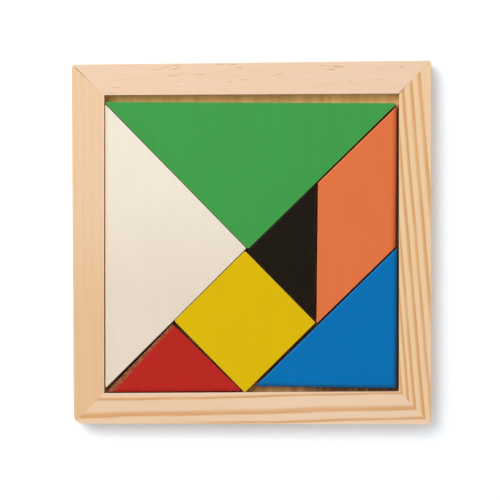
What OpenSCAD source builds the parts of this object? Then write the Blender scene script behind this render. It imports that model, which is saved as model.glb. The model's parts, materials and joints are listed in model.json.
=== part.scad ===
// Tangram tray puzzle: seven painted wooden tans lying in a square pine tray.
// Millimetres, +Z up. The origin is the centre of the tray's outline, on its underside.
// +X points to the right rail and +Y to the back rail.
// The set is hand cut, so the frame is slightly out of square and each tan lies a little turned.

/* [Frame] */
// Outside width of the frame along its back
frame_w = 140.2; // [136:0.1:144]
// Outside depth of the frame along its right side
frame_d = 141.9; // [138:0.1:146]
// Height of the rails
frame_h = 8; // [7.5:0.5:12]
// How much lower the outside back edge sits at its left end
back_fall = 1.6; // [0:0.1:2]
// How much higher the outside front edge sits at its left end
front_rise = 0.3; // [0:0.1:1]
// How far the outside left edge leans in at the front
left_lean = 0.9; // [0:0.1:2]
// Sanded radius of the front left, front right, back right and back left outside corners
frame_corner_r = [3.2, 1.2, 0.8, 0.5]; // [0.3:0.1:4]

/* [Opening] */
// Width of the opening between the left and right rails
opening_w = 115.1; // [115.1:0.1:116]
// Depth of the opening between the front and back rails
opening_d = 116.3; // [116.3:0.1:118]
// Middle of the opening
opening_at = [0.2, -0.4]; // [-1:0.1:1]
// Half of the rise of the front and back rails' inner edges, from left to right
opening_skew = 0.3; // [0:0.1:0.5]

/* [Mitres] */
// Width of the back left mitre's gap at the outside corner, where the joint has opened
back_left_gap = 0.4; // [0.1:0.05:0.8]
// Share of the back left mitre, from the outside, along which it has opened
back_left_share = 0.68; // [0.1:0.02:0.9]
// Width of the back right mitre's gap at the inside corner
back_right_gap = 0.35; // [0.1:0.05:0.8]
// Share of the back right mitre, from the inside, along which it has opened
back_right_share = 0.32; // [0.1:0.02:0.9]

/* [Floor] */
// Thickness of the plywood floor
floor_t = 3; // [2:0.5:4]
// Width of the rebate that holds the floor, under each rail
rebate_w = 4; // [2:0.5:6]
// Gap between the floor's edge and the rebate's wall
floor_fit = 0.15; // [0.1:0.05:0.5]

/* [Corner pins] */
// Diameter of each pin's shank
pin_d = 1.2; // [1:0.1:1.8]
// Length of each pin, from the face of its head
pin_len = 20; // [14:1:24]
// Diameter of each pin's head
pin_head_d = 2.4; // [2:0.1:3]
// Thickness of each pin's head
pin_head_t = 0.5; // [0.3:0.1:1]
// How deep each head is sunk below the rail's side
pin_sunk = 0.3; // [0:0.1:0.6]
// Distance from the pins' axes to the middle of the opening, along Y
pin_y = 64; // [62:0.5:66]

/* [Tans] */
// Thickness of every tan
tan_t = 4.5; // [3:0.1:5]
// Radius of the tans' blunt corners, seen from above
corner_r = 0.7; // [0.2:0.1:1]
// Radius of the tans' sharp tips, seen from above
tip_r = 0.4; // [0.2:0.1:0.6]

/* [Green large triangle] */
// Lengths of its right and left legs
green_legs = [81.5, 80.4]; // [70:0.1:81.5]
// Angle between the legs
green_angle = 90; // [89.5:0.1:90]
// Place of its blunt corner
green_at = [-1.2, -2.7]; // [-4:0.1:0]
// Direction of its right leg, from +X
green_turn = 44.4; // [44.2:0.1:44.6]

/* [White large triangle] */
// Lengths of its back and front legs
white_legs = [79, 77.6]; // [70:0.1:79]
// Angle between the legs
white_angle = 90.4; // [90:0.1:90.5]
// Place of its blunt corner
white_at = [-1.85, -2.35]; // [-4:0.05:0]
// Direction of its back leg, from +X
white_turn = 134.4; // [134.2:0.1:134.6]

/* [Yellow square] */
// Lengths of its left and right sides, which run forwards from its back corner
yellow_sides = [38.9, 39.3]; // [34:0.1:39.3]
// Angle between them
yellow_angle = 89.8; // [89.5:0.1:90]
// Place of its back corner
yellow_at = [-2.4, -3.3]; // [-4:0.1:0]
// Direction of its left side, from +X
yellow_turn = -135.3; // [-135.5:0.1:-135]

/* [Black small triangle] */
// Lengths of its front and back legs
black_legs = [37.3, 37.7]; // [34:0.1:37.8]
// Angle between the legs
black_angle = 90; // [89.5:0.1:90]
// Place of its blunt corner
black_at = [-1.6, -3.55]; // [-4:0.05:0]
// Direction of its front leg, from +X
black_turn = -45.4; // [-45.5:0.1:-45.2]

/* [Red small triangle] */
// Lengths of its left and right legs
red_legs = [37, 37.8]; // [34:0.1:37.8]
// Angle between the legs
red_angle = 90; // [89.5:0.1:90]
// Place of its blunt corner
red_at = [-30.8, -31.8]; // [-34:0.1:-30]
// Direction of its left leg, from +X
red_turn = -134; // [-134.5:0.1:-133.8]

/* [Orange parallelogram] */
// Lengths of its slanted and upright sides
orange_sides = [43.2, 55]; // [40:0.1:55]
// Angle between them
orange_angle = 45.2; // [45:0.1:45.4]
// Place of its front corner
orange_at = [25.5, -31.8]; // [-32:0.1:26]
// Direction of its slanted side, from +X
orange_turn = 44.2; // [44:0.1:44.4]

/* [Blue medium triangle] */
// Lengths of its upright and level legs
blue_legs = [55.3, 55.2]; // [50:0.1:56.2]
// Angle between the legs
blue_angle = 89.6; // [89.4:0.1:90.4]
// Place of its blunt corner
blue_at = [56.75, -57.15]; // [-57.3:0.05:57]
// Direction of its upright leg, from +X
blue_turn = 89.5; // [89.4:0.1:89.8]

/* [Hidden] */
// Chords in the arc that rounds a corner
arc_steps = 4;
// A corner narrower than this is a sharp tip
tip_angle = 60;
// Margin by which a cut runs past the solid it cuts
past = 1;
// Length of a mitre's cutting line, as a multiple of the mitre
mitre_reach = 1.5;
// Facets of the round pins, past which a circle is a true circle
round_fn = 32;

// Corners run anticlockwise from the front left
outside = [
    [-frame_w / 2 + left_lean, -frame_d / 2 + front_rise],
    [frame_w / 2, -frame_d / 2],
    [frame_w / 2, frame_d / 2],
    [-frame_w / 2, frame_d / 2 - back_fall]
];
corner_signs = [[-1, -1], [1, -1], [1, 1], [-1, 1]];
opening = [
    for (s = corner_signs)
        opening_at + [s.x * opening_w / 2, s.y * opening_d / 2 + s.x * opening_skew]
];
rebate = [for (i = [0:3]) opening[i] + rebate_w * corner_signs[i]];
floor_edge = [for (i = [0:3]) rebate[i] - floor_fit * corner_signs[i]];
pin_z = (floor_t + frame_h) / 2;

// Colours, after the pieces as they look in use
pine = [0.91, 0.77, 0.62];
plywood = [0.80, 0.64, 0.43];
steel = [0.72, 0.72, 0.70];

// A point at a distance and a direction from another
function reach(from, length, direction) = from + length * [cos(direction), sin(direction)];

// The corners of a triangle or of a four-sided tan, from one corner and its two sides
function triangle(at, legs, angle, turn) =
    [at, reach(at, legs[0], turn), reach(at, legs[1], turn + angle)];
function four_sided(at, sides, angle, turn) =
    let (near = reach(at, sides[0], turn), far = reach(at, sides[1], turn + angle))
    [at, near, near + far - at, far];

function unit(v) = v / norm(v);
function before(points, i) = points[(i + len(points) - 1) % len(points)];
function after(points, i) = points[(i + 1) % len(points)];
function corner_angle(points, i) =
    acos(unit(before(points, i) - points[i]) * unit(after(points, i) - points[i]));

// The arc that rounds corner i of an anticlockwise outline
function corner_arc(points, i, r) =
    let (
        inward = unit(unit(before(points, i) - points[i]) + unit(after(points, i) - points[i])),
        half = corner_angle(points, i) / 2,
        centre = points[i] + inward * r / sin(half),
        along = points[i] - before(points, i),
        start = atan2(-along.x, along.y)
    )
    [for (k = [0:arc_steps]) reach(centre, r, start + (180 - 2 * half) * k / arc_steps)];

function rounded(points, radii) =
    [for (i = [0:len(points) - 1]) each corner_arc(points, i, radii[i])];

// The radius of each corner of a tan: small at a tip, larger where it is blunt
function tan_radii(points) =
    [for (i = [0:len(points) - 1]) corner_angle(points, i) < tip_angle ? tip_r : corner_r];

// X of the frame's outside face at a given y: the left one leans, the right one is upright
function left_face(y) =
    let (share = (y - outside[0].y) / (outside[3].y - outside[0].y))
    outside[0].x + share * (outside[3].x - outside[0].x);
function side_face(side, y) = side < 0 ? left_face(y) : frame_w / 2;

// A pin pointing along +X, drawn from its head to its point; lead lengthens it behind the head
module pin(lead = 0) {
    shank_end = pin_len - pin_d;
    rotate([0, 90, 0])
        rotate_extrude($fn = round_fn)
            polygon([
                [0, -lead],
                [pin_head_d / 2, -lead],
                [pin_head_d / 2, pin_head_t],
                [pin_d / 2, pin_head_t],
                [pin_d / 2, shank_end],
                [0, pin_len]
            ]);
}

// Puts its children where each pin goes: one a corner, driven in from the frame's sides
module at_pins() {
    for (side = [-1, 1])
        for (end = [-1, 1]) {
            y = opening_at.y + end * pin_y;
            translate([side_face(side, y) - side * pin_sunk, y, pin_z])
                rotate([0, 0, side < 0 ? 0 : 180])
                    children();
        }
}

// A point on the mitre line of corner i, past the outside corner
function past_mitre(i) = opening[i] + mitre_reach * (outside[i] - opening[i]);

// The rail between outside corners i and i + 1, mitred at both ends and rebated below
module rail(i) {
    j = (i + 1) % 4;
    color(pine)
        difference() {
            intersection() {
                translate([0, 0, -past])
                    linear_extrude(frame_h + 2 * past)
                        polygon([past_mitre(i), past_mitre(j), opening[j], opening[i]]);
                linear_extrude(frame_h)
                    polygon(rounded(outside, frame_corner_r));
            }
            translate([0, 0, -past])
                linear_extrude(floor_t + past)
                    polygon(rebate);
            at_pins() pin(pin_sunk + past);
        }
}

// The thin wedges that the back rail has shrunk away from its neighbours, one at each mitre
module open_mitres() {
    left_gap = [back_left_gap * (1 + (mitre_reach - 1) / back_left_share), 0];
    left_closed = outside[3] + back_left_share * (opening[3] - outside[3]);
    right_gap = [back_right_gap, 0];
    right_closed = opening[2] + back_right_share * (outside[2] - opening[2]);
    translate([0, 0, -past])
        linear_extrude(frame_h + 2 * past) {
            polygon([left_closed, past_mitre(3) + left_gap, past_mitre(3) - left_gap]);
            polygon([opening[2] + right_gap, right_closed, opening[2] - right_gap]);
        }
}

// A painted tan lying on the floor
module painted_tan(points, paint) {
    color(paint)
        translate([0, 0, floor_t])
            linear_extrude(tan_t)
                polygon(rounded(points, tan_radii(points)));
}

module front_rail() {
    rail(0);
}

module right_rail() {
    rail(1);
}

module back_rail() {
    color(pine)
        difference() {
            rail(2);
            open_mitres();
        }
}

module left_rail() {
    rail(3);
}

module floor_panel() {
    color(plywood)
        linear_extrude(floor_t)
            polygon(floor_edge);
}

module corner_pins() {
    color(steel)
        at_pins() pin();
}

module green_large_triangle() {
    painted_tan(triangle(green_at, green_legs, green_angle, green_turn), [0.29, 0.62, 0.31]);
}

module white_large_triangle() {
    painted_tan(triangle(white_at, white_legs, white_angle, white_turn), [0.92, 0.86, 0.79]);
}

module yellow_square() {
    painted_tan(four_sided(yellow_at, yellow_sides, yellow_angle, yellow_turn), [0.85, 0.72, 0.01]);
}

module black_small_triangle() {
    painted_tan(triangle(black_at, black_legs, black_angle, black_turn), [0.13, 0.11, 0.08]);
}

module red_small_triangle() {
    painted_tan(triangle(red_at, red_legs, red_angle, red_turn), [0.72, 0.16, 0.13]);
}

module orange_parallelogram() {
    painted_tan(four_sided(orange_at, orange_sides, orange_angle, orange_turn), [0.87, 0.46, 0.27]);
}

module blue_medium_triangle() {
    painted_tan(triangle(blue_at, blue_legs, blue_angle, blue_turn), [0.01, 0.45, 0.70]);
}

front_rail();
right_rail();
back_rail();
left_rail();
floor_panel();
corner_pins();
green_large_triangle();
white_large_triangle();
yellow_square();
black_small_triangle();
red_small_triangle();
orange_parallelogram();
blue_medium_triangle();
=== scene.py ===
import json
import math

import bmesh
import bpy
from bpy.props import FloatProperty, FloatVectorProperty, PointerProperty
from mathutils import Euler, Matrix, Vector


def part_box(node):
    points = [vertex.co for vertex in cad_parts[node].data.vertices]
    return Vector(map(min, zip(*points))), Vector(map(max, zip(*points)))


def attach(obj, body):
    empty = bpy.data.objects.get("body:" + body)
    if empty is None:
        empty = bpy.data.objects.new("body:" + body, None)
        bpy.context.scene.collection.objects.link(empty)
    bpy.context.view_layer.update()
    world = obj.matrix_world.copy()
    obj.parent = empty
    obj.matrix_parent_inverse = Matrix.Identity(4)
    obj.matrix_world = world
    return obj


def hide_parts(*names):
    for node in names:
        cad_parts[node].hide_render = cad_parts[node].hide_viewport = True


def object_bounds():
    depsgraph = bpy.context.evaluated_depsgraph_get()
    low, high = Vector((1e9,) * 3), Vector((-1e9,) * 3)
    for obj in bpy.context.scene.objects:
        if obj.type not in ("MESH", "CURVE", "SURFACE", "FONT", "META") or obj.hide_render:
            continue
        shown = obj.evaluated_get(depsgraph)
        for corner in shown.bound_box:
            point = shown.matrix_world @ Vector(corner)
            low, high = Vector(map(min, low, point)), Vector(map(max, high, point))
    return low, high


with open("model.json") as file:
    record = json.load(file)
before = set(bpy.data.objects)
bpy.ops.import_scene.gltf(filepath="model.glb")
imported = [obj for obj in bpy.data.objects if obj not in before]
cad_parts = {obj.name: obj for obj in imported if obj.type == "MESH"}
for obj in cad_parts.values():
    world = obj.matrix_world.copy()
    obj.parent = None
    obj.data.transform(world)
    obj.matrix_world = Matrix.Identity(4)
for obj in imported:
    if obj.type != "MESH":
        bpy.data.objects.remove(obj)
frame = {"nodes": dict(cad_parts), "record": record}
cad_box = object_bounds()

bl_info = {
    "name": "Tangram Tray",
    "version": (1, 0, 0),
    "blender": (4, 5, 0),
    "location": "3D View > Sidebar > Tangram",
    "description": "Builds a pine tray with a plywood floor and seven painted tans around a packed frame",
    "category": "Object",
}

MM = 0.001
# Distance below which two points count as one
SAME = 1e-6

# Width of the band along a rail's arris that is drawn pale, from sanding and a painted highlight
ARRIS = 0.5 * MM
# Width of the band along a tan's sawn edges where its paint is worn, with a painted highlight there too
WORN_AND_LIT_EDGE = 0.5 * MM
# Width of the band beside a rail where a tan's paint is tinted with painted shade and a warm painted
# reflection
RIM = 1.8 * MM
# How near a rail a tan's side lies when it faces that rail
RAIL_REACH = 3.5 * MM
# Shortest side of a rail that is an arris and not a mitre, and least area of a mitre
LONG_SIDE = 60 * MM
MITRE_AREA = 20 * MM * MM
# What a tan's block is larger than the tan before it is sawn, and its upper face's border
SAWN_OFF = 4 * MM
TOP_BORDER = 0.3 * MM
# Cuts across a side that is rounded over
ROUND_STEPS = 6

TRAY_BODY = "tray"
# Which way each rail's grain runs: the turn about +Z that lays its length on X and its outside on +Y
RAIL_TURNS = {
    "back_rail": 0,
    "right_rail": 90,
    "front_rail": 180,
    "left_rail": -90,
}
# Each tan's paint property, the direction of the grain under the paint in degrees, and its edge wear, which
# also paints a pale highlight along its sawn edges
TANS = {
    "green_large_triangle": ("green", 88, 0.3),
    "white_large_triangle": ("white", -89, 0.1),
    "yellow_square": ("yellow", 87, 0.1),
    "black_small_triangle": ("black", 84, 0.06),
    "red_small_triangle": ("red", 3, 0.05),
    "orange_parallelogram": ("orange", 90, 0.35),
    "blue_medium_triangle": ("blue", 92, 0.0),
}
# Painted shade: the tint that darkens a tan's paint towards its front
SHADED_FRONT = {"white_large_triangle": (0.90, 0.86, 0.845)}
# Painted shade and reflection beside a rail: the tint of a tan's paint there, warm from the rail's light on
# the white tan and darker on the red
RIM_SHADE_TINT = {
    "white_large_triangle": (1.0, 0.86, 0.70),
    "red_small_triangle": (0.80, 0.62, 0.70),
}
# Sides drawn as unpainted wood, darkened as painted shade from the tan beside them: the way each faces in
# degrees, its band's width at the back, and by how many degrees the band widens
SHADED_BARE = {"red_small_triangle": (136, 1.4 * MM, 1.6)}


# --- Sizes and colours that a user would change ---


class TangramTraySettings(bpy.types.PropertyGroup):
    """Sizes of the tray's sanded edges, and the colours of its wood"""

    arris: FloatProperty(
        name="Rail arris",
        description="Rounding of the rails' long upper edges",
        default=0.35 * MM,
        unit="LENGTH",
    )
    crisp: FloatProperty(
        name="Sawn edge",
        description="Rounding of the edges that meet at the mitres and on the underside",
        default=0.08 * MM,
        unit="LENGTH",
    )
    back_pine: FloatVectorProperty(
        name="Back rail",
        description="Colour of the back rail's early wood",
        subtype="COLOR",
        default=(0.652, 0.471, 0.334),
    )
    right_pine: FloatVectorProperty(
        name="Right rail",
        description="Colour of the right rail's early wood",
        subtype="COLOR",
        default=(0.658, 0.460, 0.273),
    )
    front_pine: FloatVectorProperty(
        name="Front rail",
        description="Colour of the front rail's early wood",
        subtype="COLOR",
        default=(0.655, 0.478, 0.325),
    )
    left_pine: FloatVectorProperty(
        name="Left rail",
        description="Colour of the left rail's early wood",
        subtype="COLOR",
        default=(0.637, 0.440, 0.274),
    )
    ring: FloatVectorProperty(
        name="Growth ring",
        description="Colour of the late wood",
        subtype="COLOR",
        default=(0.520, 0.255, 0.090),
    )
    veneer: FloatVectorProperty(
        name="Veneer",
        description="Colour of the plywood floor's face",
        subtype="COLOR",
        default=(1.0, 0.56, 0.20),
    )


class TangramTanSettings(bpy.types.PropertyGroup):
    """Edge sizes and paint colours of the tans"""

    right_round: FloatProperty(
        name="Right rounding",
        description="Rounding of the orange and blue tans' edges beside the right rail",
        default=2.2 * MM,
        unit="LENGTH",
    )
    front_round: FloatProperty(
        name="Front rounding",
        description="Rounding of the blue tan's edge beside the front rail",
        default=2.4 * MM,
        unit="LENGTH",
    )
    saw_ease: FloatProperty(
        name="Sawn edge",
        description="Rounding of the edges between neighbouring tans",
        default=0.25 * MM,
        unit="LENGTH",
    )
    blunt_radius: FloatProperty(
        name="Corner radius",
        description="Radius of the blunt corners, seen from above",
        default=0.7 * MM,
        unit="LENGTH",
    )
    tip_radius: FloatProperty(
        name="Tip radius",
        description="Radius of the sharp tips, seen from above",
        default=0.4 * MM,
        unit="LENGTH",
    )
    green: FloatVectorProperty(
        name="Green", description="Green paint", subtype="COLOR", default=(0.038, 0.255, 0.0505)
    )
    white: FloatVectorProperty(
        name="White", description="Cream paint", subtype="COLOR", default=(0.665, 0.603, 0.503)
    )
    yellow: FloatVectorProperty(
        name="Yellow", description="Yellow paint", subtype="COLOR", default=(0.545, 0.365, 0.0005)
    )
    black: FloatVectorProperty(
        name="Black", description="Black paint", subtype="COLOR", default=(0.0088, 0.0058, 0.0030)
    )
    red: FloatVectorProperty(
        name="Red", description="Red paint", subtype="COLOR", default=(0.362, 0.0150, 0.0100)
    )
    orange: FloatVectorProperty(
        name="Orange", description="Orange paint", subtype="COLOR", default=(0.575, 0.132, 0.041)
    )
    blue: FloatVectorProperty(
        name="Blue", description="Blue paint", subtype="COLOR", default=(0.0004, 0.124, 0.342)
    )


class TangramStageSettings(bpy.types.PropertyGroup):
    """The camera and the studio light"""

    lens: FloatProperty(
        name="Lens", description="Focal length of the camera", default=180, unit="CAMERA"
    )
    view_width: FloatProperty(
        name="View width",
        description="Width of the view at the height of the rails",
        default=195 * MM,
        unit="LENGTH",
    )
    aim: FloatVectorProperty(
        name="Aim",
        description="Point of the tray's rim below the middle of the view",
        size=2,
        subtype="XYZ",
        unit="LENGTH",
        default=(-0.47 * MM, -3.0 * MM),
    )
    key_power: FloatProperty(
        name="Key light", description="Power of the soft light at the back left", default=16.5
    )
    key_size: FloatProperty(
        name="Key size", description="Width of the soft light", default=1.15, unit="LENGTH"
    )
    key_place: FloatVectorProperty(
        name="Key place",
        description="Middle of the soft light",
        size=3,
        subtype="XYZ",
        unit="LENGTH",
        default=(-0.6, 0.62, 0.95),
    )
    key_aim: FloatVectorProperty(
        name="Key aim",
        description="Point that the soft light faces",
        size=3,
        subtype="XYZ",
        unit="LENGTH",
        default=(0.2, 0.0, 0.0),
    )
    sky: FloatProperty(
        name="Sky", description="Strength of the even light from all round", default=0.84
    )
    overhead: FloatProperty(
        name="Overhead", description="Strength of the light from straight above", default=0.1
    )


# --- Mesh helpers ---


def activate(piece):
    """Selects one piece and nothing else"""
    bpy.ops.object.select_all(action="DESELECT")
    piece.select_set(True)
    bpy.context.view_layer.objects.active = piece


def start_editing(piece):
    """Opens a piece in edit mode with all its faces selected"""
    activate(piece)
    bpy.ops.object.mode_set(mode="EDIT")
    bpy.ops.mesh.select_mode(type="FACE")
    bpy.ops.mesh.select_all(action="SELECT")


def stop_editing():
    bpy.ops.object.mode_set(mode="OBJECT")


def pick(kind, test):
    """In edit mode, selects exactly the faces, edges or vertices that pass the test"""
    bpy.ops.mesh.select_mode(type=kind)
    bpy.ops.mesh.select_all(action="DESELECT")
    data = bpy.context.edit_object.data
    mesh = bmesh.from_edit_mesh(data)
    for item in {"FACE": mesh.faces, "EDGE": mesh.edges, "VERT": mesh.verts}[kind]:
        if test(item):
            item.select_set(True)
    bmesh.update_edit_mesh(data)


def clean_copy(node, name):
    """A new piece with a CAD node's shape, its loose triangles merged into whole flat faces"""
    mesh = frame["nodes"][node].data.copy()
    mesh.name = name
    mesh.materials.clear()
    piece = bpy.data.objects.new(name, mesh)
    bpy.context.scene.collection.objects.link(piece)
    activate(piece)
    bpy.ops.mesh.customdata_custom_splitnormals_clear()
    start_editing(piece)
    bpy.ops.mesh.remove_doubles(threshold=SAME)
    bpy.ops.mesh.dissolve_limited(angle_limit=math.radians(0.2))
    stop_editing()
    return piece


def ease_edges(piece, width_of, segments=4):
    """Rounds each edge by the width that width_of gives it, in metres"""
    mesh = bmesh.new()
    mesh.from_mesh(piece.data)
    widths = [width_of(edge) for edge in mesh.edges]
    widest = max(widths)
    layer = mesh.edges.layers.float.new("bevel_weight_edge")
    for edge, width in zip(mesh.edges, widths):
        edge[layer] = width / widest
    mesh.to_mesh(piece.data)
    mesh.free()
    ease = piece.modifiers.new("ease", "BEVEL")
    ease.limit_method = "WEIGHT"
    ease.width = widest
    ease.segments = segments
    ease.use_clamp_overlap = True
    ease.loop_slide = True
    activate(piece)
    bpy.ops.object.modifier_apply(modifier=ease.name)


def smooth(piece, angle=35):
    """Shades a piece smooth, with its large faces left flat"""
    activate(piece)
    bpy.ops.object.shade_smooth_by_angle(angle=math.radians(angle))
    flatten = piece.modifiers.new("flatten", "WEIGHTED_NORMAL")
    flatten.weight = 100
    flatten.keep_sharp = True
    bpy.ops.object.modifier_apply(modifier=flatten.name)


def finish_piece(piece, material, body, node):
    """Gives a piece its material and its body, and hides the CAD node that it stands for"""
    piece.data.materials.clear()
    piece.data.materials.append(material)
    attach(piece, body)
    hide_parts(node)
    return piece


def body_of(node):
    """The moving body that a node belongs to"""
    bodies = frame["record"]["behaviour"]["bodies"]
    return next(body for body, nodes in bodies.items() if node in nodes)


def level(edge, height):
    """Whether an edge or face lies flat at a height"""
    return all(abs(v.co.z - height) < SAME for v in edge.verts)


def upright(face):
    """Whether a face of a mesh stands straight up"""
    return abs(face.normal.z) < 0.01


def long_sides(node, shortest=5 * MM):
    """A node's straight sides as (point, outward normal), from its upright faces that reach its top"""
    mesh = frame["nodes"][node].data
    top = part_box(node)[1].z
    found = {}
    for face in mesh.polygons:
        corners = [mesh.vertices[i].co for i in face.vertices]
        if upright(face) and max(c.z for c in corners) > top - SAME:
            key = round(math.degrees(math.atan2(face.normal.y, face.normal.x)))
            span = max((a - b).xy.length for a in corners for b in corners)
            if span > shortest:
                found[key] = (Vector(face.center), Vector(face.normal))
    return list(found.values())


def slice_beside(piece, point, normal, depths):
    """Cuts new edges across a piece, at some depths behind one of its sides"""
    start_editing(piece)
    for depth in depths:
        bpy.ops.mesh.select_all(action="SELECT")
        bpy.ops.mesh.bisect(plane_co=point - normal * depth, plane_no=normal, threshold=SAME)
    stop_editing()


def mark(piece, name, sides, reach, top):
    """Writes how near each upper vertex is to some of the sides, from 0 to 1, as an attribute"""
    values = []
    for vertex in piece.data.vertices:
        near = min(((point - vertex.co).dot(normal) for point, normal in sides), default=reach)
        depth = max(near, top - vertex.co.z - 0.2 * reach, 0.0)
        values.append(max(0.0, 1.0 - depth / reach))
    attribute = piece.data.attributes.new(name, "FLOAT", "POINT")
    attribute.data.foreach_set("value", values)


# --- Node helpers ---


def put(tree, kind, inputs, **settings):
    """Adds a node. An input that is a socket is linked, and any other value is set"""
    made = tree.nodes.new(kind)
    for name, value in settings.items():
        setattr(made, name, value)
    for name, value in inputs.items():
        if isinstance(value, bpy.types.NodeSocket):
            tree.links.new(value, made.inputs[name])
        else:
            made.inputs[name].default_value = value
    return made


def coordinates(tree, kind):
    """One output of a texture coordinate node"""
    return put(tree, "ShaderNodeTexCoord", {}).outputs[kind]


def read_mark(tree, name):
    """An attribute that mark has written on a piece"""
    return put(tree, "ShaderNodeAttribute", {}, attribute_name=name).outputs["Fac"]


def split(tree, vector):
    """The X, Y and Z of a vector"""
    parts = put(tree, "ShaderNodeSeparateXYZ", {"Vector": vector}).outputs
    return parts["X"], parts["Y"], parts["Z"]


def calc(tree, operation, *values):
    """The result of a math node"""
    inputs = dict(enumerate(values))
    return put(tree, "ShaderNodeMath", inputs, operation=operation).outputs[0]


def remap(tree, value, low, high, to_low=0.0, to_high=1.0, steps="SMOOTHSTEP"):
    """A value moved from one span to another, and held inside it"""
    inputs = {"Value": value, "From Min": low, "From Max": high, "To Min": to_low, "To Max": to_high}
    made = put(tree, "ShaderNodeMapRange", inputs, interpolation_type=steps, clamp=True)
    return made.outputs["Result"]


def mix(tree, factor, first, second, blend="MIX"):
    """A colour between two others. The mix node keeps its colours in inputs 6 and 7"""
    inputs = {0: factor, 6: first, 7: second}
    settings = {"data_type": "RGBA", "blend_type": blend, "clamp_factor": True}
    return put(tree, "ShaderNodeMix", inputs, **settings).outputs[2]


def shaded(tree, colour, gain):
    """A colour multiplied by a number"""
    grey = put(tree, "ShaderNodeCombineColor", {0: gain, 1: gain, 2: gain}).outputs["Color"]
    return mix(tree, 1.0, colour, grey, "MULTIPLY")


def noise(tree, vector, scale, detail=2.0, roughness=0.5, distortion=0.0):
    """Fractal noise, with about scale waves in each unit of the vector"""
    inputs = {
        "Vector": vector,
        "Scale": scale,
        "Detail": detail,
        "Roughness": roughness,
        "Distortion": distortion,
    }
    return put(tree, "ShaderNodeTexNoise", inputs).outputs["Fac"]


def mapped(tree, vector, location=(0, 0, 0), turn=(0, 0, 0), scale=(1, 1, 1)):
    """A vector scaled, turned by some degrees and moved"""
    inputs = {
        "Vector": vector,
        "Location": location,
        "Rotation": tuple(math.radians(a) for a in turn),
        "Scale": scale,
    }
    return put(tree, "ShaderNodeMapping", inputs).outputs["Vector"]


def new_group(name, inputs, outputs):
    """An empty node group, with the sockets it is entered and left by"""
    group = bpy.data.node_groups.new(name, "ShaderNodeTree")
    for label, (kind, default) in inputs.items():
        socket = group.interface.new_socket(label, in_out="INPUT", socket_type="NodeSocket" + kind)
        if default is not None:
            socket.default_value = default
    for label, kind in outputs.items():
        group.interface.new_socket(label, in_out="OUTPUT", socket_type="NodeSocket" + kind)
    entry = group.nodes.new("NodeGroupInput")
    leave = group.nodes.new("NodeGroupOutput")
    return group, entry.outputs, leave.inputs


def use_group(tree, group, inputs):
    """The outputs of a node group in another tree"""
    return put(tree, "ShaderNodeGroup", inputs, node_tree=group).outputs


def new_material(name, gloss):
    """A material, its tree and its Principled shader"""
    material = bpy.data.materials.new(name)
    material.use_nodes = True
    shader = material.node_tree.nodes["Principled BSDF"]
    shader.inputs["Specular IOR Level"].default_value = gloss
    return material, material.node_tree, shader


def finish_shader(tree, shader, outputs, depth):
    """Feeds a group's colour, roughness and height to a shader, with bumps up to depth metres"""
    tree.links.new(outputs["Color"], shader.inputs["Base Color"])
    tree.links.new(outputs["Roughness"], shader.inputs["Roughness"])
    bump = put(tree, "ShaderNodeBump", {"Height": outputs["Height"], "Distance": depth})
    tree.links.new(bump.outputs["Normal"], shader.inputs["Normal"])


def solid(colour, tint=(1, 1, 1)):
    """A colour times a tint, with full alpha"""
    return (*(c * t for c, t in zip(colour, tint)), 1.0)


# --- Effects that several materials share ---

# The two colours of torn unpainted wood, darkened as painted shade
SHADED_TORN_WOOD = ((0.15, 0.030, 0.012, 1), (0.28, 0.088, 0.040, 1))


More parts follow.
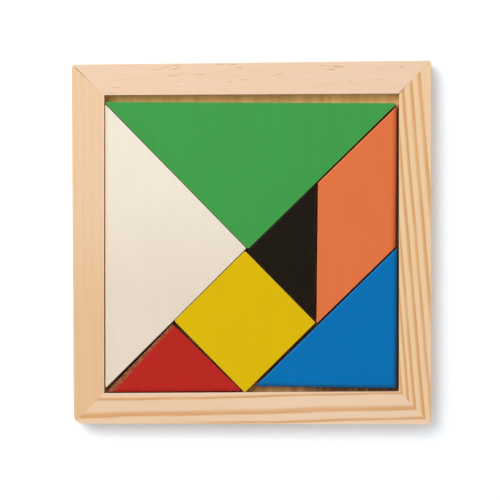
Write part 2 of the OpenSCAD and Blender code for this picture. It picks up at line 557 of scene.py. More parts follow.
def wood_figure():
    """Sawn softwood: patches, painted shade, growth rings, fibres, dark flecks and pale arrises with a
    painted highlight. Vector is in mm, X along the grain
    """
    name = "wood_figure"
    if name in bpy.data.node_groups:
        return bpy.data.node_groups[name]
    tree, given, result = new_group(
        name,
        {
            "Vector": ("Vector", None),
            "Rings": ("Float", 0.0),
            "Tone": ("Float", 0.0),
            "Edge": ("Float", 0.0),
            "Pale": ("Color", (0.7, 0.5, 0.3, 1)),
            "Deep": ("Color", (0.6, 0.4, 0.2, 1)),
            "Ring": ("Color", (0.5, 0.3, 0.1, 1)),
            "Ring Strength": ("Float", 0.6),
            "Streaks": ("Float", 0.1),
            "Flecks": ("Float", 0.3),
            "Flaws": ("Float", 0.0),
        },
        {"Color": "Color", "Roughness": "Float", "Height": "Float"},
    )
    vector = given["Vector"]
    # Broad patches of deeper wood, on top of the painted shade that is given
    patches = noise(tree, mapped(tree, vector, scale=(0.03, 0.5, 0.5)), 0.5, 3.0)
    tone_and_shade = calc(tree, "ADD", given["Tone"], remap(tree, patches, 0.3, 0.8, 0.0, 0.3))
    colour = mix(tree, tone_and_shade, given["Pale"], given["Deep"])

    # Rings, fainter in some places
    dimming = noise(tree, mapped(tree, vector, location=(0, 13, 0), scale=(0.12, 0.6, 1)), 0.25, 2.0)
    ring_share = calc(tree, "MULTIPLY", given["Rings"], given["Ring Strength"])
    ring_share = calc(tree, "MULTIPLY", ring_share, remap(tree, dimming, 0.25, 0.55, 0.6, 1.0))
    colour = mix(tree, ring_share, colour, given["Ring"])

    # Fine streaks along the grain
    fibres = noise(tree, mapped(tree, vector, scale=(0.04, 1, 1)), 2.6, 4.0, 0.6)
    fibre_shade = remap(tree, fibres, 0.25, 0.75, -1.0, 1.0, "LINEAR")
    fibre_gain = calc(tree, "MULTIPLY_ADD", fibre_shade, given["Streaks"], 1.0)
    colour = shaded(tree, colour, fibre_gain)

    # Short dashes, only in some places, and the flaws that are given
    dashes = noise(tree, mapped(tree, vector, turn=(0, 0, -5), scale=(0.1, 1, 0.6)), 1.3, 1.0)
    places = noise(tree, mapped(tree, vector, location=(31, 7, 0), scale=(0.5, 1, 1)), 0.12, 1.0)
    dashes, places = remap(tree, dashes, 0.62, 0.74), remap(tree, places, 0.46, 0.58)
    flecks = calc(tree, "MULTIPLY", calc(tree, "MULTIPLY", dashes, places), given["Flecks"])
    fleck_share = calc(tree, "MAXIMUM", flecks, given["Flaws"])
    dark = mix(tree, 1.0, given["Ring"], (0.60, 0.60, 0.65, 1), "MULTIPLY")
    colour = mix(tree, fleck_share, colour, dark)

    # Paler arrises, from sanding and a painted highlight
    sanded = calc(tree, "MULTIPLY", given["Edge"], remap(tree, dimming, 0.3, 0.6, 0.25, 0.6))
    bright = mix(tree, 1.0, given["Pale"], (1.18, 1.20, 1.25, 1), "MULTIPLY")
    tree.links.new(mix(tree, sanded, colour, bright), result["Color"])

    tree.links.new(remap(tree, fibres, 0.3, 0.7, 0.5, 0.66, "LINEAR"), result["Roughness"])
    ridge = calc(tree, "MULTIPLY_ADD", given["Rings"], 0.5, fibres)
    tree.links.new(ridge, result["Height"])
    return tree


def paint_coat():
    """Satin paint over wood: pale at edges from wear and a painted highlight, with painted shade towards
    the front and beside the rails, and unpainted wood in painted shade on some sides. Vector is in mm, X
    along the grain
    """
    name = "paint_coat"
    if name in bpy.data.node_groups:
        return bpy.data.node_groups[name]
    tree, given, result = new_group(
        name,
        {
            "Vector": ("Vector", None),
            "Paint": ("Color", (0.5, 0.5, 0.5, 1)),
            "Faded": ("Color", (0.5, 0.5, 0.5, 1)),
            "Fade": ("Float", 0.0),
            "Thin": ("Color", (0.7, 0.6, 0.5, 1)),
            "Rim Paint": ("Color", (0.5, 0.5, 0.5, 1)),
            "Edge": ("Float", 0.0),
            "Rim": ("Float", 0.0),
            "Bare": ("Float", 0.0),
            "Wear": ("Float", 0.5),
            "Mottle": ("Float", 0.05),
        },
        {"Color": "Color", "Roughness": "Float", "Height": "Float"},
    )
    vector = given["Vector"]
    # Paint, with painted shade towards the front where it is given, painted shade and a warm painted
    # reflection beside the rails, and mottled all over
    clouds = noise(tree, vector, 0.06, 2.0)
    strokes = noise(tree, mapped(tree, vector, scale=(0.04, 1, 1)), 0.28, 3.0, 0.6)
    shade = calc(tree, "ADD", clouds, strokes)
    shade = remap(tree, shade, 0.6, 1.4, -1.0, 1.0, "LINEAR")
    gain = calc(tree, "MULTIPLY_ADD", shade, given["Mottle"], 1.0)
    paint = mix(tree, given["Fade"], given["Paint"], given["Faded"])
    rim = remap(tree, given["Rim"], 0.0, 1.0)
    paint = mix(tree, rim, paint, given["Rim Paint"])
    colour = shaded(tree, paint, gain)

    # Thin paint at the sawn edges, which is also a painted highlight along them
    chips = noise(tree, vector, 0.12, 3.0, 0.6)
    reach = calc(tree, "MULTIPLY", given["Edge"], remap(tree, chips, 0.35, 0.65, 0.25, 1.0))
    wear_and_highlight = calc(tree, "MULTIPLY", reach, given["Wear"])
    colour = mix(tree, wear_and_highlight, colour, given["Thin"])

    # Torn unpainted wood on a side without paint, dark with painted shade from the tan beside it
    torn = noise(tree, mapped(tree, vector, turn=(0, 0, 45), scale=(0.5, 1, 1)), 1.6, 3.0, 0.7)
    bare = calc(tree, "MULTIPLY_ADD", calc(tree, "SUBTRACT", torn, 0.5), 0.7, given["Bare"])
    bare = calc(tree, "MULTIPLY", remap(tree, bare, 0.2, 0.6), remap(tree, given["Bare"], 0.0, 0.1))
    wood = mix(tree, remap(tree, torn, 0.4, 0.6), *SHADED_TORN_WOOD)
    tree.links.new(mix(tree, bare, colour, wood), result["Color"])
    wear_and_highlight = calc(tree, "MAXIMUM", wear_and_highlight, bare)

    rough = remap(tree, noise(tree, vector, 0.5, 2.0), 0.3, 0.7, 0.31, 0.39, "LINEAR")
    tree.links.new(calc(tree, "MULTIPLY_ADD", wear_and_highlight, 0.25, rough), result["Roughness"])

    # Grain and orange peel in relief, with worn places lower
    grain = noise(tree, mapped(tree, vector, scale=(0.05, 1, 1)), 1.6, 3.0)
    peel = noise(tree, vector, 1.3, 2.0)
    height = calc(tree, "MULTIPLY_ADD", grain, 0.5, peel)
    tree.links.new(calc(tree, "MULTIPLY_ADD", wear_and_highlight, -0.4, height), result["Height"])
    return tree


# --- Materials ---

# Growth rings of each rail: (place, width) in mm outwards from the rail's inner edge, at its middle
RAIL_RINGS = {
    "right_rail": [(-4.2, 1.1), (-1.9, 1.1), (0.4, 1.2), (3.5, 1.4), (6.55, 1.3), (9.9, 1.5), (13.4, 1.6)],
    "front_rail": [(1.8, 1.1), (7.9, 2.1), (12.0, 1.1)],
    "left_rail": [(1.5, 1.6), (4.8, 2.4), (8.0, 1.6), (11.0, 2.0)],
    "back_rail": [(2.0, 5.0), (9.0, 4.0)],
}
# Slope, bend and waver of those rings, and the strength of the rings, fibres and flecks
RAIL_FIGURE = {
    "right_rail": (0.087, 0.00002, 0.8, 1.0, 0.035, 0.05),
    "front_rail": (0.023, 0.0, 1.8, 0.95, 0.03, 0.05),
    "left_rail": (0.012, 0.0, 1.5, 0.08, 0.03, 0.15),
    "back_rail": (0.035, 0.0, 3.0, 0.04, 0.015, 0.65),
}
# Painted shade along a rail: where along it the wood is drawn deeper in colour, from and to in mm, and by
# how much; the left rail darker towards the front, the front rail towards the left
RAIL_SHADE = {"left_rail": (18, -30, 0.7), "front_rail": (-35, 50, 0.4)}
# Thin dark flaws in a rail's wood: both ends (along, across) in mm, half width and strength
RAIL_FLAWS = {
    "back_rail": [
        ((-61, 5.2), (-33, 7.3), 0.25, 0.22),
        ((-34, 7.2), (-27, 8.0), 0.3, 0.45),
        ((-36, 10.2), (-30, 11.6), 0.25, 0.5),
        ((-32.5, 9.4), (-26.5, 11.4), 0.3, 0.6),
        ((-31.5, 11.6), (-26.8, 11.9), 0.25, 0.45),
        ((-30.5, 3.1), (-26.3, 3.5), 0.25, 0.4),
        ((-23.8, 7.9), (-16.6, 8.1), 0.25, 0.5),
        ((7.3, 7.2), (13.5, 8.8), 0.3, 0.45),
        ((10.0, 6.8), (14.5, 7.7), 0.2, 0.35),
        ((26.0, 3.2), (30.4, 3.6), 0.2, 0.35),
        ((31.0, 10.6), (37.0, 11.5), 0.3, 0.55),
        ((45.2, 5.6), (53.4, 6.6), 0.25, 0.4),
    ],
    "left_rail": [((6.3, 8.3), (18.5, 8.3), 0.2, 0.4)],
}
# How far a ring leans outwards for each mm of height, and how deep a flaw goes in mm
RING_LEAN = 0.6
FLAW_DEPTH = 3
# A ring's darkness from its pale inside to its sharp outside, at shares of its width from its place
RING_PROFILE = ((-0.9, 0.0), (-0.1, 0.85), (0.2, 1.0), (0.6, 0.0))
# Painted shade on the floor: spans in mm over which it turns from lit to shaded behind the tans, from
# shaded to half lit in front of them, and from shaded to lit from right to left in front of them
BACK_STRIP = (54.5, 51)
FRONT_STRIP = (-51, -55, 0.0, 0.5)
FRONT_FLOOR_SHADE = (-36, -17)
# Shares of the floor's thickness between which that painted shade sets in
SHADED_HEIGHT = (0.6, 0.9)
# Tints of a wood's own colour: pine's deeper wood, also used for the rails' painted shade, the veneer in
# painted shade, and the veneer's rings
PINE_DEEP = (0.93, 0.85, 0.76)
VENEER_SHADED = (0.22, 0.15, 0.14)
VENEER_RING = (0.7, 0.7, 0.7)
# The wood that shows through worn paint, and how much of it does; this paler colour also stands for a
# painted highlight at the sawn edges
UNDER_PAINT = (0.60, 0.44, 0.28)
SHOW_THROUGH = 0.4
# Depth of each surface's relief
PINE_RELIEF = 0.05 * MM
VENEER_RELIEF = 0.06 * MM
PAINT_RELIEF = 0.02 * MM


def grain_vector(tree, turn, origin=(0, 0, 0)):
    """Object coordinates in mm, turned about +Z, with origin (metres, before turning) at zero"""
    inputs = {0: coordinates(tree, "Object"), 1: tuple(origin)}
    centred = put(tree, "ShaderNodeVectorMath", inputs, operation="SUBTRACT").outputs["Vector"]
    return mapped(tree, centred, turn=(0, 0, turn), scale=(1 / MM, 1 / MM, 1 / MM))


def growth_rings(tree, vector, rings, drift, curve, wander):
    """A mask of late wood. rings are (place, width) in mm across the rail, at its middle.
    drift and curve are the rings' slope and bend along the rail, and wander is how far they waver"""
    along, across, up = split(tree, vector)
    bend = calc(tree, "MULTIPLY_ADD", along, curve, drift)
    across = calc(tree, "MULTIPLY_ADD", calc(tree, "MULTIPLY", along, bend), -1.0, across)
    across = calc(tree, "MULTIPLY_ADD", up, RING_LEAN, across)
    waver = noise(tree, mapped(tree, vector, scale=(0.35, 1, 1)), 0.07, 2.0)
    across = calc(tree, "MULTIPLY_ADD", calc(tree, "SUBTRACT", waver, 0.5), wander, across)
    first = rings[0][0] - rings[0][1]
    last = rings[-1][0] + rings[-1][1]
    share = remap(tree, across, first, last, steps="LINEAR")
    made = put(tree, "ShaderNodeValToRGB", {"Fac": share})
    ramp = made.color_ramp
    ramp.interpolation = "EASE"
    ramp.elements.remove(ramp.elements[0])
    ramp.elements[0].position = 0.0
    ramp.elements[0].color = (0, 0, 0, 1)
    for place, width in rings:
        for offset, dark in RING_PROFILE:
            stop = (place + offset * width - first) / (last - first)
            ramp.elements.new(stop).color = (dark, dark, dark, 1)
    return made.outputs["Color"]


def flaws(tree, vector, places):
    """A mask of thin dark flaws, each a wavering line between two points in mm"""
    waver = noise(tree, mapped(tree, vector, scale=(1, 0.4, 0.4)), 0.35, 2.0)
    lift = put(tree, "ShaderNodeCombineXYZ", {1: calc(tree, "SUBTRACT", waver, 0.5)}).outputs[0]
    wavy = put(tree, "ShaderNodeVectorMath", {0: vector, 1: lift}, operation="ADD").outputs[0]
    share = 0.0
    for start, end, half_width, strength in places:
        way = Vector(end) - Vector(start)
        middle = (Vector(end) + Vector(start)) / 2
        inputs = {
            "Vector": wavy,
            "Location": (*middle, 0),
            "Rotation": (0, 0, math.atan2(way.y, way.x)),
            "Scale": (way.length / 2, half_width, FLAW_DEPTH),
        }
        near = put(tree, "ShaderNodeMapping", inputs, vector_type="TEXTURE").outputs[0]
        reach = put(tree, "ShaderNodeVectorMath", {0: near}, operation="LENGTH").outputs["Value"]
        share = calc(tree, "MAXIMUM", share, remap(tree, reach, 1.0, 0.2, 0.0, strength))
    return share


def pine(node):
    """Bare sanded pine with the growth rings of one rail"""
    settings = bpy.context.scene.tangram_tray
    low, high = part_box(node)
    turn = RAIL_TURNS[node]
    inner = {
        "back_rail": (0, low.y, high.z),
        "right_rail": (low.x, 0, high.z),
        "front_rail": (0, high.y, high.z),
        "left_rail": (high.x, 0, high.z),
    }[node]
    drift, curve, wander, ring_strength, streaks, flecks = RAIL_FIGURE[node]
    material, tree, shader = new_material("pine_" + node, 0.25)
    vector = grain_vector(tree, turn, inner)
    rings = growth_rings(tree, vector, RAIL_RINGS[node], drift, curve, wander)
    edge = read_mark(tree, "edge")
    pale = getattr(settings, node.replace("rail", "pine"))
    # Painted shade: some rails drawn deeper in colour towards one end
    tone_and_shade = 0.0
    if node in RAIL_SHADE:
        along, _, _ = split(tree, vector)
        start, end, depth = RAIL_SHADE[node]
        tone_and_shade = remap(tree, along, start, end, 0.0, depth)
    outputs = use_group(
        tree,
        wood_figure(),
        {
            "Vector": vector,
            "Rings": rings,
            "Tone": tone_and_shade,
            "Edge": edge,
            "Pale": solid(pale),
            "Deep": solid(pale, PINE_DEEP),
            "Ring": solid(settings.ring),
            "Ring Strength": ring_strength,
            "Streaks": streaks,
            "Flecks": flecks,
            "Flaws": flaws(tree, vector, RAIL_FLAWS.get(node, [])),
        },
    )
    finish_shader(tree, shader, outputs, PINE_RELIEF)
    return material


def plywood():
    """The face veneer of the floor, its grain running from front to back, with painted shade on its upper
    face behind, under and in front of the tans
    """
    settings = bpy.context.scene.tangram_tray
    material, tree, shader = new_material("plywood", 0.25)
    vector = grain_vector(tree, -90)
    waves = noise(tree, mapped(tree, vector, scale=(0.06, 1, 1)), 0.16, 2.0, 0.5, 0.6)
    rings = remap(tree, calc(tree, "PINGPONG", calc(tree, "MULTIPLY", waves, 9.0), 1.0), 0.6, 1.0)
    along, across, up = split(tree, vector)
    # Painted shade: the floor drawn darker where the tans cover it and in the gaps beside them
    covered = remap(tree, along, *BACK_STRIP)
    unshaded = calc(tree, "MULTIPLY", remap(tree, along, *FRONT_STRIP), remap(tree, across, *FRONT_FLOOR_SHADE))
    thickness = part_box("floor_panel")[1].z / MM
    upper_face = remap(tree, up, *(share * thickness for share in SHADED_HEIGHT))
    outputs = use_group(
        tree,
        wood_figure(),
        {
            "Vector": vector,
            "Rings": rings,
            "Tone": calc(tree, "MULTIPLY", calc(tree, "SUBTRACT", covered, unshaded), upper_face),
            "Pale": solid(settings.veneer),
            "Deep": solid(settings.veneer, VENEER_SHADED),
            "Ring": solid(settings.veneer, VENEER_RING),
            "Ring Strength": 0.35,
            "Streaks": 0.08,
            "Flecks": 0.4,
        },
    )
    finish_shader(tree, shader, outputs, VENEER_RELIEF)
    return material


def painted(node):
    """A tan's paint, pale along the sawn edges from wear and a painted highlight, with painted shade
    towards the front and beside the rails
    """
    colour, turn, edge_wear_and_highlight = TANS[node]
    paint = getattr(bpy.context.scene.tangram_tans, colour)
    thin_and_highlight = [(1 - SHOW_THROUGH) * c + SHOW_THROUGH * wood for c, wood in zip(paint, UNDER_PAINT)]
    material, tree, shader = new_material("paint_" + colour, 0.1)
    low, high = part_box(node)
    vector = grain_vector(tree, turn, low)
    edge, rim, bare = (read_mark(tree, name) for name in ("edge", "rim", "bare"))
    # Painted shade: the paint darker towards the front of the tan
    dimming = 0.0
    if node in SHADED_FRONT:
        along, _, _ = split(tree, vector)
        length = (high.y - low.y) / MM
        dimming = remap(tree, along, 0.8 * length, 0.3 * length)
    outputs = use_group(
        tree,
        paint_coat(),
        {
            "Vector": vector,
            "Paint": solid(paint),
            "Faded": solid(paint, SHADED_FRONT.get(node, (1, 1, 1))),
            "Fade": dimming,
            "Thin": solid(thin_and_highlight),
            "Rim Paint": solid(paint, RIM_SHADE_TINT.get(node, (1, 1, 1))),
            "Edge": edge,
            "Rim": rim,
            "Bare": bare,
            "Wear": edge_wear_and_highlight,
            "Mottle": 0.03,
        },
    )
    finish_shader(tree, shader, outputs, PAINT_RELIEF)
    return material


def pin_steel():
    """Drawn steel wire, dulled a little"""
    material, tree, shader = new_material("pin_steel", 0.5)
    shader.inputs["Metallic"].default_value = 1.0
    vector = grain_vector(tree, 0)
    tarnish = noise(tree, vector, 1.5, 3.0)
    bright, dull = (0.62, 0.61, 0.59, 1), (0.34, 0.30, 0.26, 1)
    colour = mix(tree, remap(tree, tarnish, 0.45, 0.7), bright, dull)
    tree.links.new(colour, shader.inputs["Base Color"])
    tree.links.new(remap(tree, tarnish, 0.3, 0.7, 0.28, 0.5), shader.inputs["Roughness"])
    return material


# --- Pieces ---


def make_rail(node):
    """A mitred rail with its arrises sanded and its mitres left crisp"""
    settings = bpy.context.scene.tangram_tray
    low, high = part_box(node)
    piece = clean_copy(node, "pine_" + node)

    def width(edge):
        if not level(edge, high.z):
            return settings.crisp if level(edge, low.z) else 0.0
        side = next(f for f in edge.link_faces if not level(f, high.z))
        slanted = min(abs(side.normal.x), abs(side.normal.y)) > 0.5
        mitred = slanted and side.calc_area() > MITRE_AREA
        return settings.crisp if mitred else settings.arris

    ease_edges(piece, width)
    sides = long_sides(node, LONG_SIDE)
    for point, normal in sides:
        slice_beside(piece, point, normal, [ARRIS])
    # Pale arrises: sanding and a painted highlight
    mark(piece, "edge", sides, ARRIS, high.z)
    smooth(piece)
    return finish_piece(piece, pine(node), TRAY_BODY, node)


def board_side(point, normal):
    """Whether a side of a tan lies along one of the tray's rails"""
    boxes = [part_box(node) for node in TANS]
    low = Vector(min(box[0][i] for box in boxes) for i in range(3))
    high = Vector(max(box[1][i] for box in boxes) for i in range(3))
    for axis in (0, 1):
        if abs(normal[axis]) > 0.99:
            limit = high[axis] if normal[axis] > 0 else low[axis]
            return abs(point[axis] - limit) < RAIL_REACH
    return False


def shaded_bare_side(piece, node, sides):
    """The side of a tan drawn as unpainted wood in painted shade, turned so that the band widens, and its
    width
    """
    if node not in SHADED_BARE:
        return [], RIM
    facing, band, widening = SHADED_BARE[node]
    way = Vector((math.cos(math.radians(facing)), math.sin(math.radians(facing)), 0))
    _, normal = max(sides, key=lambda side: side[1].dot(way))
    back = max((vertex.co for vertex in piece.data.vertices), key=lambda place: place.y)
    turned = normal.copy()
    turned.rotate(Euler((0, 0, math.radians(widening))))
    return [(back.copy(), turned)], band


def rounding(node, normal):
    """The radius to which a tan's side is rounded over, or 0 if it is only eased"""
    settings = bpy.context.scene.tangram_tans
    if node in ("orange_parallelogram", "blue_medium_triangle") and normal.x > 0.99:
        return settings.right_round
    if node == "blue_medium_triangle" and normal.y < -0.99:
        return settings.front_round
    return 0.0


def round_over(piece, point, normal, radius, low, high):
    """Rounds the upper edge of one side, as a sanding belt does"""
    angles = [math.radians(90 * (step + 1) / ROUND_STEPS) for step in range(ROUND_STEPS)]
    slice_beside(piece, point, normal, [radius * (1 - math.cos(a)) for a in angles])
    group = piece.vertex_groups.new(name="sanded")
    for vertex in piece.data.vertices:
        depth = (point - vertex.co).dot(normal)
        if depth < radius:
            short = radius - max(depth, 0.0)
            drop = 1 - math.sqrt(max(0.0, 1 - (short / radius) ** 2))
            group.add([vertex.index], drop * (vertex.co.z - low.z) / (high.z - low.z), "REPLACE")
    sand = piece.modifiers.new("sand", "DISPLACE")
    sand.vertex_group = group.name
    sand.direction = "Z"
    sand.mid_level = 0.0
    sand.strength = -radius
    activate(piece)
    bpy.ops.object.modifier_apply(modifier=sand.name)
    piece.vertex_groups.clear()


def make_tan(node):
    """A tan: a block sawn along its sides, with its corners, edges and outer sides rounded"""
    settings = bpy.context.scene.tangram_tans
    low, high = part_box(node)
    size = high - low
    bpy.ops.object.select_all(action="DESELECT")
    bpy.ops.mesh.primitive_cube_add(
        size=1,
        location=(low + high) / 2,
        scale=(size.x + SAWN_OFF, size.y + SAWN_OFF, size.z),
    )
    piece = bpy.context.object
    piece.name = "painted_" + node
    piece.data.name = piece.name
    bpy.ops.object.transform_apply(location=True, rotation=True, scale=True)
    start_editing(piece)
    sides = long_sides(node)
    for point, normal in sides:
        bpy.ops.mesh.select_all(action="SELECT")
        bpy.ops.mesh.bisect(
            plane_co=point, plane_no=normal, use_fill=True, clear_outer=True, threshold=SAME
        )
    stop_editing()

    def width(edge):
        if level(edge, high.z) or level(edge, low.z):
            side = next(f for f in edge.link_faces if upright(f))
            if level(edge, high.z) and rounding(node, side.normal):
                return 0.0
            return settings.saw_ease
        half = (math.pi - edge.link_faces[0].normal.angle(edge.link_faces[1].normal)) / 2
        radius = settings.tip_radius if half < math.radians(30) else settings.blunt_radius
        return radius / math.tan(half)

    ease_edges(piece, width, 5)
    start_editing(piece)
    pick("FACE", lambda f: f.normal.z > 0.999 and f.calc_center_median().z > high.z - SAME)
    bpy.ops.mesh.inset(thickness=TOP_BORDER, use_even_offset=True)
    stop_editing()

    sawn = [side for side in sides if not board_side(*side)]
    outer = [side for side in sides if board_side(*side)]
    for point, normal in outer:
        radius = rounding(node, normal)
        if radius:
            round_over(piece, point, normal, radius, low, high)
        else:
            slice_beside(piece, point, normal, [RIM])
    # Painted shade: a side drawn as unpainted wood in the neighbouring tan's shadow
    bare, band = shaded_bare_side(piece, node, sides)
    for point, normal in bare:
        slice_beside(piece, point, normal, [band])
    # Wear and a painted highlight along the sawn edges
    mark(piece, "edge", sawn, WORN_AND_LIT_EDGE, high.z)
    # Painted shade and reflection beside the rails, where a side is not rounded over
    mark(piece, "rim", [side for side in outer if not rounding(node, side[1])], RIM, high.z)
    mark(piece, "bare", bare, band, high.z)
    smooth(piece)
    return finish_piece(piece, painted(node), body_of(node), node)


def pin_places():
    """Each corner pin as (the middle of its head's face, its way along X, its length, its head's radius)"""
    points = [v.co for v in frame["nodes"]["corner_pins"].data.vertices]
    places = []
    for side in (-1, 1):
        for end in (-1, 1):
            own = [p for p in points if p.x * side > 0 and p.y * end > 0]
            y = (min(p.y for p in own) + max(p.y for p in own)) / 2
            z = (min(p.z for p in own) + max(p.z for p in own)) / 2
            outer = max(p.x * side for p in own) * side
            inner = min(p.x * side for p in own) * side
            head = max(p.z for p in own) - z
            places.append((Vector((outer, y, z)), -side, abs(outer - inner), head))
    return places


def make_pin():
    """One corner pin along +X from the origin: a domed head, a shank and a cut point"""
    _, _, length, head_radius = pin_places()[0]
    # The head's thickness, the shank's radius, the point's length, and the head's rings, dome and edge
    head, shank, point = 0.5 * MM, 0.6 * MM, 1.2 * MM
    ring, dome, edge = 0.35 * MM, 0.06 * MM, 0.15 * MM
    bpy.ops.object.select_all(action="DESELECT")
    bpy.ops.mesh.primitive_cylinder_add(
        vertices=32,
        radius=head_radius,
        depth=head,
        location=(head / 2, 0, 0),
        rotation=(0, math.radians(90), 0),
    )
    pin = bpy.context.object
    bpy.ops.object.transform_apply(location=True, rotation=True, scale=True)
    start_editing(pin)
    pick("FACE", lambda f: f.normal.x > 0.9)
    bpy.ops.mesh.inset(thickness=head_radius - shank)
    bpy.ops.mesh.extrude_region_move(TRANSFORM_OT_translate={"value": (length - head - point, 0, 0)})
    bpy.ops.mesh.extrude_region_move(TRANSFORM_OT_translate={"value": (point, 0, 0)})
    bpy.ops.transform.resize(value=(1, 0.05, 0.05))
    pick("FACE", lambda f: f.normal.x < -0.9)
    bpy.ops.mesh.inset(thickness=ring)
    bpy.ops.mesh.inset(thickness=ring)
    bpy.ops.transform.translate(value=(dome, 0, 0))
    pick("EDGE", lambda e: all(v.co.x < SAME and v.co.yz.length > head_radius * 0.99 for v in e.verts))
    bpy.ops.mesh.bevel(offset=edge, segments=3, affect="EDGES")
    stop_editing()
    return pin


def make_pins():
    """The four corner pins as one piece, each a copy of the same pin"""
    pin = make_pin()
    copies = []
    for place, way, _, _ in pin_places():
        mesh = pin.data.copy()
        copy = bpy.data.objects.new("pin", mesh)
        bpy.context.scene.collection.objects.link(copy)
        copy.rotation_euler.z = 0 if way > 0 else math.pi
        copy.location = place
        copies.append(copy)
    bpy.data.objects.remove(pin)
    bpy.ops.object.select_all(action="DESELECT")
    for copy in copies:
        copy.select_set(True)
    bpy.context.view_layer.objects.active = copies[0]
    bpy.ops.object.transform_apply(location=True, rotation=True, scale=True)
    bpy.ops.object.join()
    pins = bpy.context.object
    pins.name = "wire_corner_pins"
    pins.data.name = pins.name
    smooth(pins)
    return finish_piece(pins, pin_steel(), TRAY_BODY, "corner_pins")


def make_floor_panel():
    """The plywood floor with its lower edges eased"""
    settings = bpy.context.scene.tangram_tray
    low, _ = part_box("floor_panel")
    piece = clean_copy("floor_panel", "plywood_floor_panel")
    ease_edges(piece, lambda edge: 3 * settings.crisp if level(edge, low.z) else settings.crisp)
    smooth(piece)
    return finish_piece(piece, plywood(), TRAY_BODY, "floor_panel")


# --- The stage ---

# The ground's width, its drop below the tray, and its two whites
GROUND_WIDTH = 4
GROUND_DROP = 0.05 * MM
GROUND_WHITES = ((0.89, 0.93, 0.97, 1), (0.91, 0.945, 0.985, 1))
# Degrees from straight above at which the sky begins to dim, and at which it is dimmest
DIM_SKY = (27, 15)


def make_ground():
    """A plain white ground just under the tray"""
    bpy.ops.object.select_all(action="DESELECT")
    bpy.ops.mesh.primitive_plane_add(size=GROUND_WIDTH, location=(0, 0, -GROUND_DROP))
    ground = bpy.context.object
    ground.name = "ground"
    material, tree, shader = new_material("ground_paper", 0.0)
    shader.inputs["Roughness"].default_value = 0.9
    fibre = noise(tree, grain_vector(tree, 0), 0.2, 2.0)
    white = mix(tree, fibre, *GROUND_WHITES)
    tree.links.new(white, shader.inputs["Base Color"])
    ground.data.materials.append(material)


def make_lights():
    """A soft box at the back left, and an even sky with a dim patch straight above"""
    settings = bpy.context.scene.tangram_stage
    light = bpy.data.lights.new("key", "AREA")
    light.shape = "SQUARE"
    light.size = settings.key_size
    light.energy = settings.key_power
    key = bpy.data.objects.new("key", light)
    key.location = settings.key_place
    facing = Vector(settings.key_aim) - Vector(settings.key_place)
    key.rotation_euler = facing.to_track_quat("-Z", "Y").to_euler()
    bpy.context.scene.collection.objects.link(key)

    world = bpy.data.worlds.new("studio")
    world.use_nodes = True
    tree = world.node_tree
    _, _, up = split(tree, coordinates(tree, "Generated"))
    rim, middle = (math.cos(math.radians(angle)) for angle in DIM_SKY)
    strength = remap(tree, up, rim, middle, settings.sky, settings.overhead)
    background = tree.nodes["Background"]
    background.inputs["Color"].default_value = (1, 1, 1, 1)
    tree.links.new(strength, background.inputs["Strength"])
    bpy.context.scene.world = world


def make_camera():
    """A long lens straight above the tray"""
    settings = bpy.context.scene.tangram_stage
    data = bpy.data.cameras.new("camera")
    data.lens = settings.lens
    data.clip_end = 20
    camera = bpy.data.objects.new("camera", data)
    distance = settings.view_width * settings.lens / data.sensor_width
    camera.location = (*settings.aim, cad_box[1].z + distance)
    bpy.context.scene.collection.objects.link(camera)
    bpy.context.scene.camera = camera


# --- Operators ---


class TANGRAM_OT_rails(bpy.types.Operator):
    """Builds the four mitred pine rails"""

    bl_idname = "tangram.rails"
    bl_label = "Rails"

    def execute(self, context):
        for node in RAIL_TURNS:
            make_rail(node)
        return {"FINISHED"}


class TANGRAM_OT_floor_panel(bpy.types.Operator):
    """Builds the plywood floor"""

    bl_idname = "tangram.floor_panel"
    bl_label = "Floor panel"

    def execute(self, context):
        make_floor_panel()
        return {"FINISHED"}


class TANGRAM_OT_corner_pins(bpy.types.Operator):
    """Builds the pins that cross the mitres"""

    bl_idname = "tangram.corner_pins"
    bl_label = "Corner pins"

    def execute(self, context):
        make_pins()
        return {"FINISHED"}


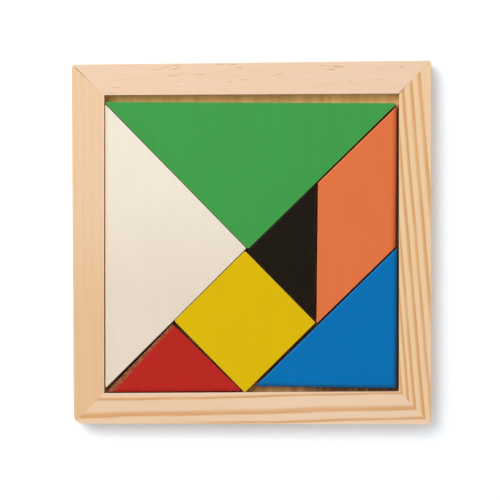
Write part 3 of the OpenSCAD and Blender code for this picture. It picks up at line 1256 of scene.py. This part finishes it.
class TANGRAM_OT_tans(bpy.types.Operator):
    """Builds the seven painted tans"""

    bl_idname = "tangram.tans"
    bl_label = "Tans"

    def execute(self, context):
        for node in TANS:
            make_tan(node)
        return {"FINISHED"}


class TANGRAM_OT_stage(bpy.types.Operator):
    """Builds the ground, the lights and the camera"""

    bl_idname = "tangram.stage"
    bl_label = "Stage"

    def execute(self, context):
        make_ground()
        make_lights()
        make_camera()
        context.scene.view_settings.view_transform = "Standard"
        return {"FINISHED"}


class TANGRAM_PT_panel(bpy.types.Panel):
    """Lists the tray's pieces and their settings"""

    bl_label = "Tangram Tray"
    bl_idname = "TANGRAM_PT_panel"
    bl_space_type = "VIEW_3D"
    bl_region_type = "UI"
    bl_category = "Tangram"

    def draw(self, context):
        scene = context.scene
        for settings in (scene.tangram_tray, scene.tangram_tans, scene.tangram_stage):
            box = self.layout.box()
            for name in settings.__annotations__:
                box.prop(settings, name)
        for operator in OPERATORS:
            self.layout.operator(operator.bl_idname)


OPERATORS = (
    TANGRAM_OT_rails,
    TANGRAM_OT_floor_panel,
    TANGRAM_OT_corner_pins,
    TANGRAM_OT_tans,
    TANGRAM_OT_stage,
)
CLASSES = (
    TangramTraySettings,
    TangramTanSettings,
    TangramStageSettings,
    *OPERATORS,
    TANGRAM_PT_panel,
)


def register():
    """Adds the classes, and the settings to every scene"""
    for made in CLASSES:
        bpy.utils.register_class(made)
    bpy.types.Scene.tangram_tray = PointerProperty(type=TangramTraySettings)
    bpy.types.Scene.tangram_tans = PointerProperty(type=TangramTanSettings)
    bpy.types.Scene.tangram_stage = PointerProperty(type=TangramStageSettings)


def unregister():
    """Takes away what register added"""
    del bpy.types.Scene.tangram_stage
    del bpy.types.Scene.tangram_tans
    del bpy.types.Scene.tangram_tray
    for made in reversed(CLASSES):
        bpy.utils.unregister_class(made)


def main():
    """Builds the whole scene in order"""
    register()
    bpy.ops.tangram.rails()
    bpy.ops.tangram.floor_panel()
    bpy.ops.tangram.corner_pins()
    bpy.ops.tangram.tans()
    bpy.ops.tangram.stage()
    bpy.ops.object.select_all(action="DESELECT")


if __name__ == "__main__":
    main()
